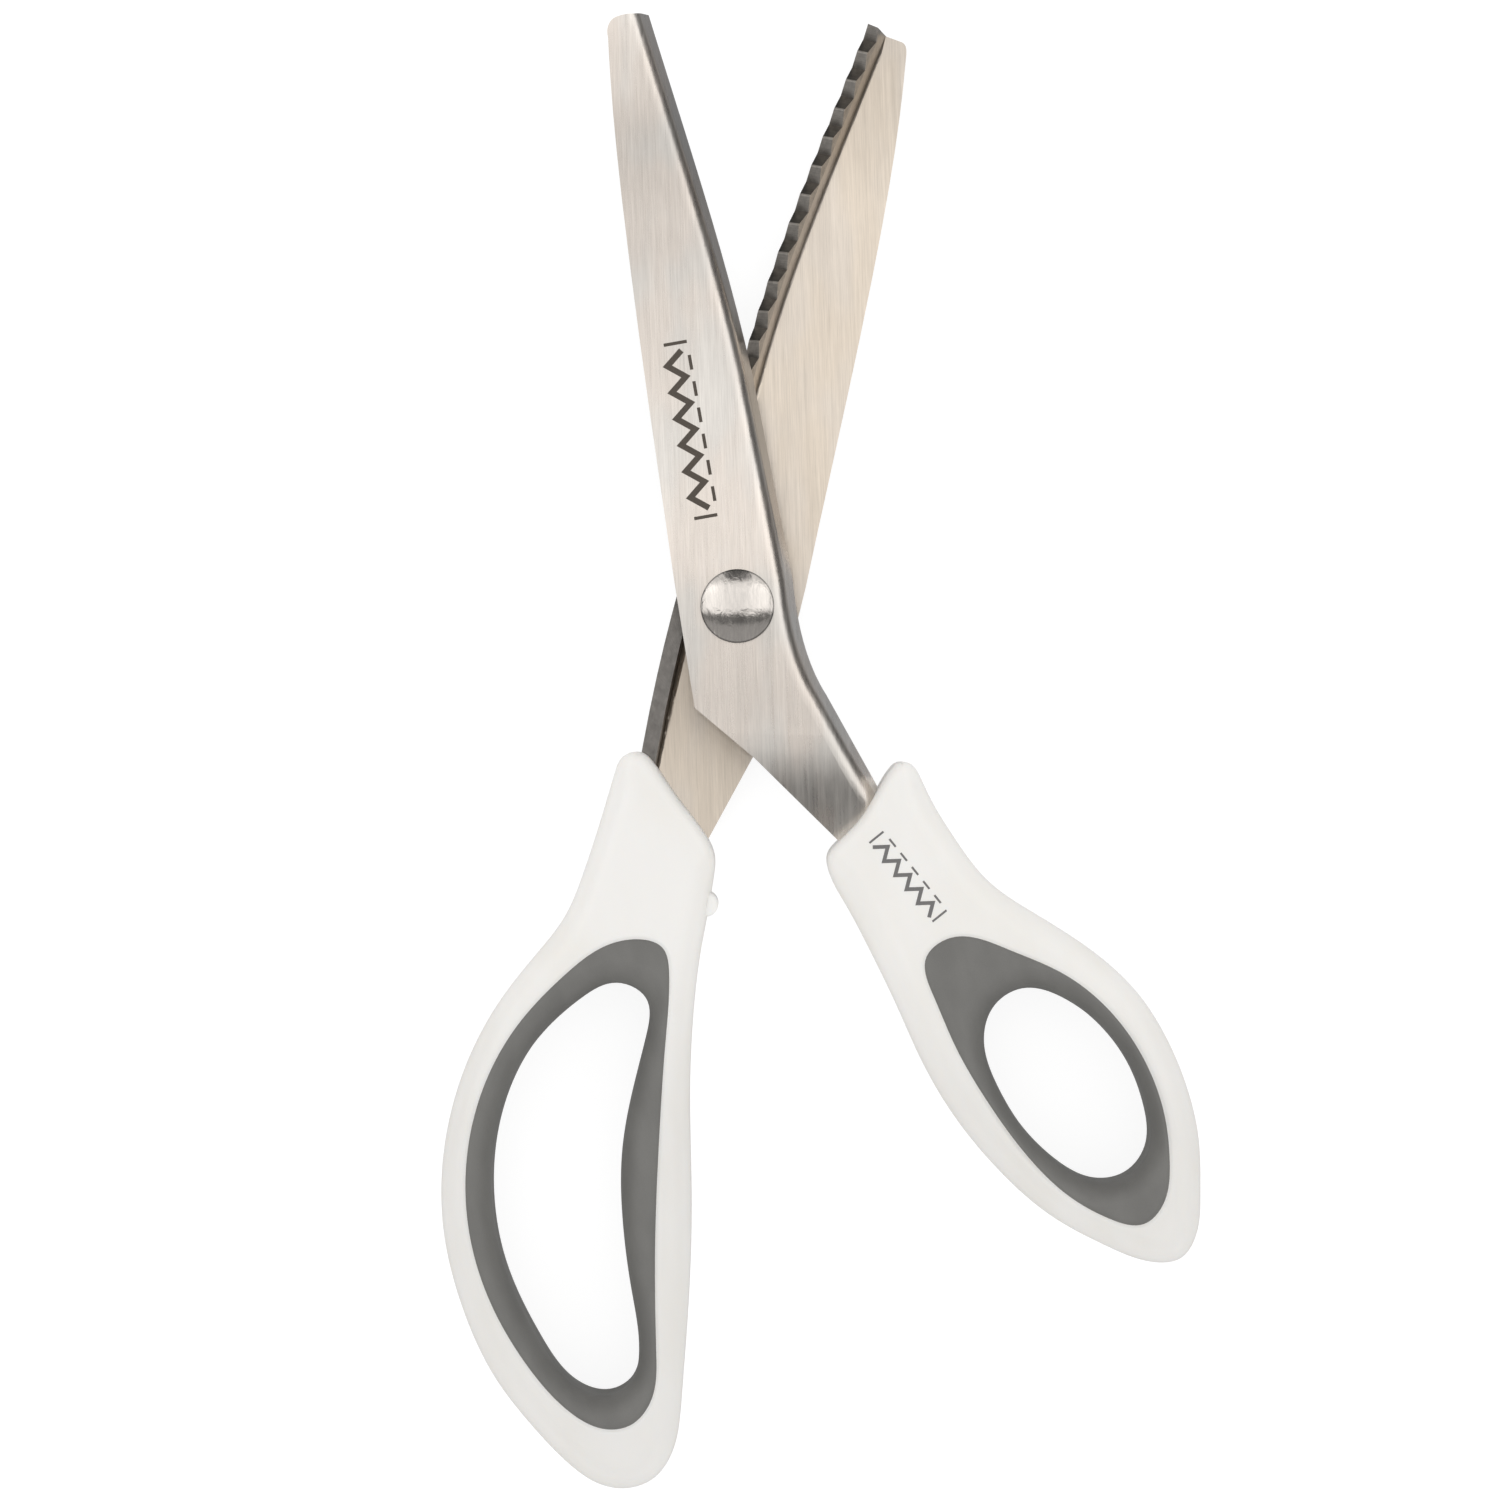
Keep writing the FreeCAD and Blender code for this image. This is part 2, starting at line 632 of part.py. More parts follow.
def inset_outline(points, inset, limit):
    """Closed outline moved square to itself, into the shape for a positive inset.

    Where the outline bends more sharply than the limit it moves less, so that it never crosses
    itself.
    """
    spline = curve(points, closed=True)
    area = sum(a[0] * b[1] - a[1] * b[0] for a, b in zip(points, points[1:] + points[:1]))
    facing = 1 if area > 0 else -1
    moved = []
    for point in flat(points):
        where = spline.parameter(point)
        tangent = spline.tangent(where)[0]
        normal = Vector(-tangent.y, tangent.x, 0) * facing
        bend = spline.curvature(where)
        step = inset
        if bend > 1e-6 and inset * (spline.centerOfCurvature(where) - point).dot(normal) > 0:
            step = inset * min(1.0, CORNER_SHARE / (bend * limit))
        moved.append((point.x + normal.x * step, point.y + normal.y * step))
    return moved


def rounded_slab(name, points, radius, way=1):
    """Slab of the handle's thickness with rounded rims; way -1 gives a hole's flared mouths."""
    half = size("handle_thick") / 2
    steps = rounding_steps(radius)
    levels = [(inset, half - down) for inset, down in steps]
    levels = [(inset, -height) for inset, height in levels] + levels[::-1]
    sections = []
    for index, (inset, height) in enumerate(levels):
        outline = inset_outline(points, way * inset, radius)
        sections.append(sketch(f"{name}_level_{index}", [curve(outline, closed=True)], at_height(height)))
    return loft(name, sections)


def make_handle(name, outline, grip_outline, steel, upper, socket=None):
    """Hard moulding around the tang, open where the soft grip is moulded in."""
    block = rounded_slab(name + "_block", outline, size("handle_round"))
    window = slab(name + "_window", grip_outline, "2 * $handle_thick")
    frame = cut(name + "_frame", block, window)
    if socket:
        frame = cut(name + "_socketed", frame, socket)
    return place_half(cut(name, frame, steel), upper)


def make_grip(name, outline, hole, upper):
    """Soft ring inside the handle, flush with its faces and rounded into the finger hole."""
    block = slab(name + "_block", outline, "$handle_thick")
    opening = rounded_slab(name + "_opening", hole, size("grip_round"), way=-1)
    return place_half(cut(name, block, opening), upper)


def stop_peg(name):
    return cylinder(name, "$stop_radius", "-$stop_height / 2", "$stop_height", STOP_CENTRE)


def make_stop():
    """Soft bumper in the large handle that meets the small handle when the shears close."""
    peg = stop_peg("stop_peg")
    doc.recompute()
    rims = edges_where(peg, lambda middle, edge: abs(edge_rise(edge)) < UPRIGHT)
    return place_half(fillet("stop_bumper", peg, rims, size("stop_round")), False)


def faulty(thing):
    return "Invalid" in thing.State or "Error" in thing.State


def export(nodes):
    """Check the whole document, then write each node to its own file."""
    doc.recompute()
    bad = [thing.Name for thing in doc.Objects if faulty(thing)]
    if bad:
        raise RuntimeError("failed objects: " + ", ".join(bad))
    os.makedirs("parts", exist_ok=True)
    for node in nodes:
        node.Label = node.Name
        if node.Shape.isNull() or not node.Shape.isValid():
            raise RuntimeError("bad shape: " + node.Label)
    for node in nodes:
        node.Shape.exportStep(os.path.join("parts", node.Label + ".step"))
        box = node.Shape.BoundBox
        print(f"{node.Label:16s} {len(node.Shape.Solids)} solid, {node.Shape.Volume:9.2f} mm3, "
              f"z {box.ZMin:.2f} to {box.ZMax:.2f}")


upper_form = blade_form("upper", True)
lower_form = blade_form("lower", False)
nodes = [make_upper_blade(upper_form), make_lower_blade(lower_form)]
nodes += make_spacers()
nodes += [make_bush(), make_thrust_washer(), make_screw(), make_nut(), make_spring_washer()]
nodes += [
    make_handle("small_handle", SMALL_HANDLE, SMALL_GRIP, upper_form, True),
    make_handle("large_handle", LARGE_HANDLE, LARGE_GRIP, lower_form, False, stop_peg("stop_socket")),
    make_grip("small_grip", SMALL_GRIP, THUMB_HOLE, True),
    make_grip("large_grip", LARGE_GRIP, FINGER_HOLE, False),
    make_stop(),
]
export(nodes)
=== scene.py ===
"""Pinking shears: materials, moulded handles, prints, floor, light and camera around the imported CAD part."""
import json
import math

import bpy
import numpy as np
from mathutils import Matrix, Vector
from mathutils.geometry import delaunay_2d_cdt

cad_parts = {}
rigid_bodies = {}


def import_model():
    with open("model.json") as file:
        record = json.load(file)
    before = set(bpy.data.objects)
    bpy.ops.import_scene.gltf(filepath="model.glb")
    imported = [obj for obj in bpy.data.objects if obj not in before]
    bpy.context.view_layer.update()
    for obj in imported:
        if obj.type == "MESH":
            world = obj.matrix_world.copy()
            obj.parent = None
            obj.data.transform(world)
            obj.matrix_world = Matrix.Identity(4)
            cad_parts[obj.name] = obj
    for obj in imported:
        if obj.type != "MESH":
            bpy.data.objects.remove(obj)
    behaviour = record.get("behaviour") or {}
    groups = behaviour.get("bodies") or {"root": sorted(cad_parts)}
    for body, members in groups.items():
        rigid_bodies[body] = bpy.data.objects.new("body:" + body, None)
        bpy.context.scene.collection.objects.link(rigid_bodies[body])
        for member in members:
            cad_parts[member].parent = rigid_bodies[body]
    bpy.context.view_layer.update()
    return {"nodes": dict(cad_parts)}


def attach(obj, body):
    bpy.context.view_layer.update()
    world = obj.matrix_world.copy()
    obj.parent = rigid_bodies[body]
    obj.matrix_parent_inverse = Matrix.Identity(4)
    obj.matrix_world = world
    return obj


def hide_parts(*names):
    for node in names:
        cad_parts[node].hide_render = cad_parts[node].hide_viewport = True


MM = 0.001

for leftover in list(bpy.data.objects):
    bpy.data.objects.remove(leftover)
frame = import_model()

# ------------------------------------------------------------------ layout, in the halves' frames
# A half's frame has +Y to the tip and +X to the cutting flange, in millimetres from the pivot, with
# heights measured from the plane where the halves meet. The upper half is turned to its place. The
# lower half is turned over first.
MID_HEIGHT = 7.5
HALF_THICK = 7.5
PLATE_HEIGHT = 6.2
UPPER_TURN = 10.0
LOWER_TURN = -14.5

SMALL_HANDLE = [
    (22.7, -29.3), (20.9, -28.6), (19.2, -29.6), (16.9, -32.2), (13.2, -36.4), (9.0, -39.5),
    (7.3, -41.1), (7.0, -43.8), (8.6, -49.2), (11.4, -57.8), (14.0, -67.0), (16.6, -77.0), (20.4, -86.6),
    (25.6, -95.5), (32.1, -103.5), (40.1, -109.9), (46.9, -113.6), (51.2, -113.7), (54.1, -110.8),
    (56.1, -104.0), (57.3, -95.5), (57.0, -88.0), (55.0, -78.8), (51.8, -71.2), (46.0, -63.5),
    (38.0, -56.0), (31.5, -49.5), (27.6, -42.2), (24.7, -34.7), (23.7, -31.2)]
SMALL_GRIP = [
    (23.4, -57.3), (32.6, -60.6), (40.6, -66.0), (46.9, -73.3), (50.8, -81.9), (52.3, -91.3),
    (51.7, -98.4), (49.6, -104.3), (46.2, -106.8), (40.8, -105.0), (34.8, -100.0), (29.3, -92.1),
    (25.1, -83.4), (21.8, -74.4), (19.8, -66.1), (19.7, -59.5)]
THUMB_HOLE = [
    (33.9, -67.3), (40.4, -70.2), (45.3, -75.5), (48.6, -82.0), (50.0, -89.2), (49.1, -95.9),
    (45.2, -99.4), (40.2, -99.4), (34.6, -95.3), (30.3, -89.2), (27.3, -81.5), (26.5, -74.5),
    (29.2, -69.1)]
LARGE_HANDLE = [
    (12.2, -30.0), (11.6, -27.5), (8.9, -26.1), (6.3, -27.5), (1.5, -31.7), (-4.5, -36.6),
    (-6.4, -39.2), (-7.1, -42.6), (-7.6, -48.0), (-8.0, -54.0), (-9.0, -62.0), (-12.0, -76.6),
    (-16.4, -92.6), (-20.1, -108.7), (-22.9, -124.0), (-23.6, -131.5), (-21.9, -136.6), (-18.3, -139.3),
    (-14.0, -139.9), (-8.6, -138.2), (-1.4, -133.9), (6.6, -127.7), (14.5, -118.1), (20.3, -107.3),
    (23.4, -95.4), (23.7, -83.1), (21.2, -70.9), (17.1, -61.2), (14.3, -54.6), (13.1, -47.0),
    (12.45, -36.0)]
LARGE_GRIP = [
    (3.2, -55.0), (-2.1, -55.0), (-4.2, -59.0), (-6.2, -69.0), (-8.9, -83.3), (-12.6, -100.3),
    (-17.1, -117.0), (-18.2, -124.0), (-15.9, -129.0), (-12.5, -130.5), (-6.4, -129.4),
    (1.9, -124.1), (9.9, -116.1), (15.9, -106.5), (19.3, -95.6), (19.8, -84.3), (17.2, -73.1),
    (11.7, -62.9)]
FINGER_HOLE = [
    (3.6, -62.4), (-1.5, -63.6), (-3.0, -69.5), (-3.1, -79.0), (-3.9, -88.0), (-6.6, -98.2),
    (-10.9, -109.0), (-14.5, -118.3), (-14.5, -122.7), (-11.6, -125.8), (-6.8, -126.0),
    (1.1, -120.5), (9.8, -109.9), (14.5, -99.2), (16.2, -87.6), (14.3, -76.1), (8.3, -66.0)]


def placed(points, heights, upper):
    """World points in metres of half-frame points in millimetres."""
    turn = math.radians(UPPER_TURN if upper else LOWER_TURN)
    side = 1 if upper else -1
    x, y = side * points[:, 0], points[:, 1]
    z = side * np.asarray(heights)
    return MM * np.column_stack([
        x * math.cos(turn) - y * math.sin(turn), x * math.sin(turn) + y * math.cos(turn), MID_HEIGHT + z])


def turned(directions, upper):
    """World directions of half-frame directions."""
    return placed(directions[:, :2], directions[:, 2], upper) / MM - (0, 0, MID_HEIGHT)


def new_object(name, data):
    """New object in the scene."""
    made = bpy.data.objects.new(name, data)
    bpy.context.scene.collection.objects.link(made)
    return made


def new_solid(name, vertices, faces, finish):
    """New mesh object with one material."""
    mesh = bpy.data.meshes.new(name)
    mesh.from_pydata([tuple(spot) for spot in vertices], [], faces)
    mesh.materials.append(finish)
    return new_object(name, mesh)


# ------------------------------------------------------------------ node helpers

def node(tree, kind, inputs=None, **options):
    """New shader node; inputs take a value or another node's socket."""
    made = tree.nodes.new(kind)
    for key, value in options.items():
        setattr(made, key, value)
    for key, value in (inputs or {}).items():
        if isinstance(value, bpy.types.NodeSocket):
            tree.links.new(value, made.inputs[key])
        else:
            made.inputs[key].default_value = value
    return made


def maths(tree, operation, first, second=0.0, third=0.0):
    return node(tree, "ShaderNodeMath", {0: first, 1: second, 2: third}, operation=operation).outputs[0]


def product(tree, first, *others):
    total = first
    for factor in others:
        total = maths(tree, "MULTIPLY", total, factor)
    return total


def blend_values(tree, share, first, second):
    return node(tree, "ShaderNodeMix", {0: share, 2: first, 3: second}, data_type="FLOAT").outputs[0]


def blend_colours(tree, share, first, second, way="MIX"):
    made = node(tree, "ShaderNodeMix", {0: share, 6: first, 7: second}, data_type="RGBA", blend_type=way)
    return made.outputs[2]


def grey(tree, value):
    """Colour with the same value in all channels."""
    return node(tree, "ShaderNodeCombineColor", {0: value, 1: value, 2: value}).outputs[0]


def tinted(tree, colour, shade):
    """Colour made darker or lighter by a shade."""
    return blend_colours(tree, 1.0, colour, grey(tree, shade), "MULTIPLY")


def remap(tree, value, low, high, out_low=0.0, out_high=1.0, smooth=True):
    made = node(tree, "ShaderNodeMapRange",
                {0: value, 1: low, 2: high, 3: out_low, 4: out_high},
                interpolation_type="SMOOTHSTEP" if smooth else "LINEAR")
    return made.outputs[0]


def varied(tree, base, *layers):
    """base plus each layer's distance from its own middle, times a weight."""
    total = base
    for layer, weight in layers:
        total = maths(tree, "MULTIPLY_ADD", layer, weight, maths(tree, "SUBTRACT", total, weight / 2))
    return total


def banded(tree, value, bands):
    """Grey level that follows (distance in mm, level) stops, with soft steps between them."""
    low, high = bands[0][0], bands[-1][0]
    ramp = node(tree, "ShaderNodeValToRGB", {0: remap(tree, value, low * MM, high * MM, smooth=False)})
    stops = ramp.color_ramp.elements
    for where, _ in bands[1:-1]:
        stops.new((where - low) / (high - low))
    for stop, (_, level) in zip(stops, bands):
        stop.color = (level, level, level, 1)
    ramp.color_ramp.interpolation = "EASE"
    return ramp.outputs[0]


def object_place(tree):
    """Position on the object in metres, from the pivot's foot."""
    return node(tree, "ShaderNodeTexCoord").outputs["Object"]


def split(tree, vector):
    return node(tree, "ShaderNodeSeparateXYZ", {0: vector}).outputs


def from_axis(tree):
    """Level vector from the pivot's axis to the surface, and its length."""
    level = node(tree, "ShaderNodeVectorMath", {0: object_place(tree), 1: (1, 1, 0)},
                 operation="MULTIPLY").outputs[0]
    return level, node(tree, "ShaderNodeVectorMath", {0: level}, operation="LENGTH").outputs["Value"]


def stretched(tree, angle, cell):
    """Object coordinates turned by an angle and divided by a cell size in millimetres."""
    made = node(tree, "ShaderNodeMapping", {"Vector": object_place(tree)}, vector_type="TEXTURE")
    made.inputs["Rotation"].default_value = (0, 0, math.radians(angle))
    made.inputs["Scale"].default_value = [length * MM for length in cell]
    return made.outputs[0]


def noise(tree, where, detail=2.0, roughness=0.5, distortion=0.0):
    return node(tree, "ShaderNodeTexNoise", {
        "Vector": where, "Scale": 1.0, "Detail": detail, "Roughness": roughness,
        "Distortion": distortion}).outputs[0]


def rings(tree, reach, pitch, detail=2.0, roughness=0.5):
    """Noise that changes only with the distance from the pivot's axis, about once in a pitch."""
    along = node(tree, "ShaderNodeCombineXYZ", {0: maths(tree, "DIVIDE", reach, pitch * MM)}).outputs[0]
    return noise(tree, along, detail, roughness)


def bump(tree, height, depth, under=None):
    """Normal bent by a height of 0 to 1 over a depth in millimetres, on top of another bent normal."""
    made = node(tree, "ShaderNodeBump", {"Height": height, "Distance": depth * MM, "Strength": 1.0})
    if under is not None:
        tree.links.new(under, made.inputs["Normal"])
    return made.outputs[0]


def material(name, **sockets):
    """New Principled material with plain values on its sockets, and its tree and shader."""
    made = bpy.data.materials.new(name)
    made.use_nodes = True
    tree = made.node_tree
    shader = tree.nodes["Principled BSDF"]
    for key, value in sockets.items():
        shader.inputs[key.replace("_", " ")].default_value = value
    return made, tree, shader


def surface(tree, shader, colour, glaze, normal):
    """Link a material's colour, roughness and bent normal to its shader."""
    tree.links.new(colour, shader.inputs["Base Color"])
    tree.links.new(glaze, shader.inputs["Roughness"])
    tree.links.new(normal, shader.inputs["Normal"])


# ------------------------------------------------------------------ materials
# Noise cells are in millimetres: across the grain, along it, and through the piece.

GRAIN_ANGLE = 2.0

# Steel is ground where it looks at the other half and lies within LIP_REACH behind the meeting plane.
# The teeth fade in along Y over TOOTH_START, and their crests over the heights of CREST_START.
LIP_REACH = 1.25
LIP_FADE = 0.1
TOOTH_START = (9.5, 11.0)
CREST_START = (0.74, 0.84)
# Colours of the lip and teeth: the flanks carry painted light and shade by the way they face, the crests a
# painted highlight.
LIP_STEEL = (0.205, 0.192, 0.178, 1)
SHADED_TIPWARD_FLANK = (0.155, 0.145, 0.132, 1)
LIT_PIVOTWARD_FLANK = (0.47, 0.44, 0.405, 1)
CREST_HIGHLIGHT = (0.70, 0.655, 0.60, 1)

# Painted light and shade on the folded walls, by distance along Y in millimetres, standing in for what the
# walls reflect and for the shade in the deep gap beside the tang.
OUTER_WALL_PAINTED_LIGHT_AND_SHADE = [(-45, 1.32), (4, 1.27), (13, 0.5), (34, 0.42), (44, 0.72), (94, 0.78)]
INNER_WALL_PAINTED_SHADE = [(-45, 0.3), (2, 0.3), (12, 0.9), (94, 0.95)]
PAINTED_WALL_TINT = (0.97, 1.0, 1.04, 1)


def painted_wall_shade(tree, colour, facing, along):
    """Colour of the plate with painted light and shade on its steep walls and a painted shadow in the groove
    at the fold's foot.
    """
    wall_shade = blend_values(tree, remap(tree, facing, -0.02, 0.02),
                         banded(tree, along, OUTER_WALL_PAINTED_LIGHT_AND_SHADE), banded(tree, along, INNER_WALL_PAINTED_SHADE))
    wall_shade = blend_colours(tree, 1.0, grey(tree, wall_shade), PAINTED_WALL_TINT, "MULTIPLY")
    steep = remap(tree, maths(tree, "ABSOLUTE", facing), 0.62, 0.36)
    # Painted shadow in the groove at the fold's foot.
    groove = product(tree, remap(tree, facing, 0.35, 0.5), remap(tree, facing, 0.97, 0.85))
    colour = blend_colours(tree, steep, colour, blend_colours(tree, 1.0, colour, wall_shade, "MULTIPLY"))
    return tinted(tree, colour, maths(tree, "MULTIPLY_ADD", groove, -0.5, 1.0))


def ground_steel(tree, facing, height, along):
    """Ground teeth and lip: where they are, their colour, and the arcs that the wheel left on them.

    The lip is dark; the flanks of the teeth are lit and shaded copies of one steel, with painted light where
    they face the pivot and painted shade where they face the tip, and their crests carry a painted highlight.
    """
    share = product(tree, remap(tree, height, -LIP_REACH * MM, -(LIP_REACH - LIP_FADE) * MM),
                    remap(tree, facing, 0.15, 0.3))
    level, reach = from_axis(tree)
    arcs = rings(tree, reach, 0.11, 3.0, 0.7)
    worn = noise(tree, stretched(tree, 0.0, (0.9, 1.4, 0.9)), 3.0, 0.65)
    tilt = node(tree, "ShaderNodeVectorMath",
                {0: node(tree, "ShaderNodeTexCoord").outputs["Normal"], 1: level},
                operation="DOT_PRODUCT").outputs["Value"]
    # Which way a flank faces picks its painted light or painted shade.
    tipward = remap(tree, maths(tree, "DIVIDE", tilt, reach), -0.15, 0.15)
    toothed = remap(tree, along, *(limit * MM for limit in TOOTH_START))
    flank = product(tree, remap(tree, facing, 0.97, 0.93), toothed)
    crest = product(tree, remap(tree, height, *(limit * MM for limit in CREST_START)), toothed)
    tone = blend_colours(tree, tipward, LIT_PIVOTWARD_FLANK, SHADED_TIPWARD_FLANK)
    tone = blend_colours(tree, flank, LIP_STEEL, tone)
    tone = blend_colours(tree, crest, tone, CREST_HIGHLIGHT)
    return share, tinted(tree, tone, varied(tree, 1.0, (arcs, 1.2), (worn, 0.9))), arcs


def brushed_steel(name, warm, cool, rough, bands=None, ground=None):
    """Brushed sheet steel: hair-fine grain along one direction, soft streaks and cloudy tone.

    bands are (distance along Y in mm, brightness) stops of painted light and shade along the blade,
    which stand in for its uneven reflections. ground is +1 or -1, the way that a half's ground teeth and lip
    look along Z.
    """
    made, tree, shader = material(name, Metallic=1.0)
    fine = noise(tree, stretched(tree, GRAIN_ANGLE, (0.13, 7.0, 2.0)), 3.0, 0.65)
    hair = noise(tree, stretched(tree, GRAIN_ANGLE, (0.5, 22.0, 4.0)), 2.0, 0.6)
    streak = noise(tree, stretched(tree, GRAIN_ANGLE, (2.0, 45.0, 9.0)), 1.0)
    cloud = noise(tree, stretched(tree, GRAIN_ANGLE, (9.0, 20.0, 11.0)), 2.0)
    mottle = noise(tree, stretched(tree, GRAIN_ANGLE, (1.3, 3.5, 2.0)), 3.0, 0.6)
    spot = split(tree, object_place(tree))
    tone = blend_colours(tree, remap(tree, cloud, 0.40, 0.62), warm, cool)
    shade = varied(tree, 1.0, (fine, 0.46), (hair, 0.34), (streak, 0.20), (mottle, 0.12), (cloud, 0.16))
    if bands:
        # Painted light and shade along the blade: brightness stops that stand in for its reflections.
        shade = product(tree, shade, banded(tree, spot[1], bands))
    colour = tinted(tree, tone, shade)
    glaze = varied(tree, rough, (hair, 0.16), (cloud, 0.10), (mottle, 0.08))
    depth = varied(tree, 0.5, (fine, 0.7), (hair, 0.5))
    if ground:
        height = product(tree, maths(tree, "SUBTRACT", spot[2], MID_HEIGHT * MM), ground)
        normal = split(tree, node(tree, "ShaderNodeNewGeometry").outputs["True Normal"])
        facing = product(tree, normal[2], ground)
        share, dark, arcs = ground_steel(tree, facing, height, spot[1])
        colour = blend_colours(tree, share, painted_wall_shade(tree, colour, facing, spot[1]), dark)
        glaze = maths(tree, "MULTIPLY_ADD", share, 0.02, glaze)
        depth = blend_values(tree, share, depth, arcs)
    surface(tree, shader, colour, glaze, bump(tree, depth, 0.010))
    return made


def turned_metal(name, colour, rough, pitch):
    """Turned metal: fine rings about the pivot's axis with a little scuffing."""
    made, tree, shader = material(name, Metallic=1.0)
    turning = rings(tree, from_axis(tree)[1], pitch)
    scuff = noise(tree, stretched(tree, 25.0, (0.3, 2.2, 0.6)), 3.0, 0.6)
    shade = varied(tree, 0.98, (turning, 0.14), (scuff, 0.18))
    surface(tree, shader, tinted(tree, colour, shade), varied(tree, rough, (scuff, 0.12)),
            bump(tree, turning, 0.004))
    return made


def domed_steel(name, colour, rough, rim):
    """Polished steel of the screw's head: hand-rubbed smears over faint turning rings, and painted shadow
    darkening the rim where the head meets the plate.
    """
    made, tree, shader = material(name, Metallic=1.0)
    reach = from_axis(tree)[1]
    turning = rings(tree, reach, 0.3)
    smear = noise(tree, stretched(tree, 8.0, (1.7, 3.4, 2.0)), 3.0, 0.6, distortion=0.6)
    rub = noise(tree, stretched(tree, GRAIN_ANGLE, (0.22, 4.0, 2.0)), 3.0, 0.65)
    # Painted shadow: the rim is darkened where the head meets the plate.
    rim_shadow = remap(tree, reach, (rim - 0.35) * MM, rim * MM)
    shade = varied(tree, 1.0, (smear, 0.30), (rub, 0.30), (turning, 0.10))
    shade = product(tree, shade, maths(tree, "MULTIPLY_ADD", rim_shadow, -0.75, 1.0))
    surface(tree, shader, tinted(tree, colour, shade), varied(tree, rough, (smear, 0.18), (rub, 0.12)),
            bump(tree, rub, 0.006, under=bump(tree, smear, 0.10)))
    return made


def moulded_white(name, colour, rough):
    """Satin moulded plastic: faint flow marks, tiny pores and a soft sheen, with painted light and shade that
    make it lighter near the pivot and darker far from it.
    """
    made, tree, shader = material(name, IOR=1.49, Subsurface_Weight=0.12, Subsurface_Scale=0.002,
                                  Subsurface_Radius=(1.0, 0.8, 0.6))
    flow = noise(tree, stretched(tree, 12.0, (9.0, 22.0, 6.0)), 3.0)
    pores = noise(tree, stretched(tree, 0.0, (0.22, 0.22, 0.22)), 3.0, 0.65)
    smudge = noise(tree, stretched(tree, 40.0, (3.5, 6.0, 3.5)), 4.0, 0.6)
    yellowed = [channel * share for channel, share in zip(colour, (0.975, 0.97, 0.955))] + [1]
    tint = blend_colours(tree, remap(tree, flow, 0.35, 0.7), colour, yellowed)
    # Painted light and shade: lighter at the neck, darker towards the far ends of the loops.
    painted_light_and_shade = remap(tree, split(tree, object_place(tree))[1], -88 * MM, -48 * MM, 0.955, 1.045)
    surface(tree, shader, tinted(tree, tint, painted_light_and_shade), varied(tree, rough, (smudge, 0.12)),
            bump(tree, pores, 0.006, under=bump(tree, flow, 0.05)))
    return made


def soft_grip(name, colour, rough):
    """Matte soft-touch rubber: fine moulded texture with slight rubbing."""
    made, tree, shader = material(name, IOR=1.5)
    grit = noise(tree, stretched(tree, 0.0, (0.16, 0.16, 0.16)), 4.0, 0.7)
    rub = noise(tree, stretched(tree, 15.0, (5.0, 12.0, 5.0)), 3.0)
    lighter = [channel * 1.13 for channel in colour[:3]] + [1]
    tint = blend_colours(tree, remap(tree, rub, 0.35, 0.7), colour, lighter)
    surface(tree, shader, tinted(tree, tint, varied(tree, 1.0, (grit, 0.24))),
            varied(tree, rough, (rub, -0.12)), bump(tree, grit, 0.018))
    return made


def marked(name, colour, rough, grit_cell, grit_angle, detail, weights, depth, **sockets):
    """Gritty film of an etched or printed mark; weights are of the grit in colour and in roughness."""
    made, tree, shader = material(name, **sockets)
    grit = noise(tree, stretched(tree, grit_angle, grit_cell), detail, 0.7)
    surface(tree, shader, tinted(tree, colour, varied(tree, 1.0, (grit, weights[0]))),
            varied(tree, rough, (grit, weights[1])), bump(tree, grit, depth))
    return made


# The bands paint the brightness of each blade's reflections along its length.
upper_steel = brushed_steel(
    "upper_brushed_steel", (0.82, 0.745, 0.675, 1), (0.775, 0.735, 0.685, 1), 0.29,
    bands=[(-45, 0.95), (-14, 0.80), (-6, 0.84), (11, 1.0), (28, 0.96), (44, 0.89), (58, 0.79), (74, 0.71),
           (84, 0.84), (94, 0.93)], ground=-1)
# The lower blade's bands also paint shade on its tang, under the upper half.
lower_steel = brushed_steel(
    "lower_brushed_steel", (0.775, 0.68, 0.572, 1), (0.755, 0.675, 0.587, 1), 0.33,
    bands=[(-45, 0.75), (-22, 0.79), (0, 0.96), (20, 1.0), (62, 0.98), (80, 0.87), (94, 0.83)], ground=1)
# The spacers' steel is given a dark colour: painted shade for the shadowed gap between the halves.
painted_shade_spacer_steel = brushed_steel("painted_shade_spacer_steel", (0.33, 0.31, 0.29, 1), (0.28, 0.27, 0.26, 1), 0.42)
screw_steel = domed_steel("screw_steel", (0.71, 0.665, 0.62, 1), 0.19, 5.8)
nut_steel = turned_metal("nut_steel", (0.55, 0.53, 0.51, 1), 0.35, 0.5)
bush_brass = turned_metal("bush_brass", (0.72, 0.55, 0.27, 1), 0.31, 0.4)
white_plastic = moulded_white("white_plastic", (0.80, 0.785, 0.76, 1), 0.37)
bumper_plastic = moulded_white("bumper_plastic", (0.84, 0.83, 0.81, 1), 0.29)
nylon = moulded_white("washer_nylon", (0.72, 0.70, 0.64, 1), 0.46)
grey_rubber = soft_grip("grey_rubber", (0.148, 0.145, 0.136, 1), 0.56)
etched_steel = marked("etched_steel", (0.105, 0.088, 0.072, 1), 0.6, (0.09, 0.35, 0.2), GRAIN_ANGLE, 3.0,
                      (1.1, 0.3), 0.012, Metallic=0.6)
pad_ink = marked("pad_ink", (0.155, 0.15, 0.148, 1), 0.5, (0.12, 0.12, 0.12), 0.0, 4.0,
                 (0.5, 0.2), 0.008, IOR=1.45)

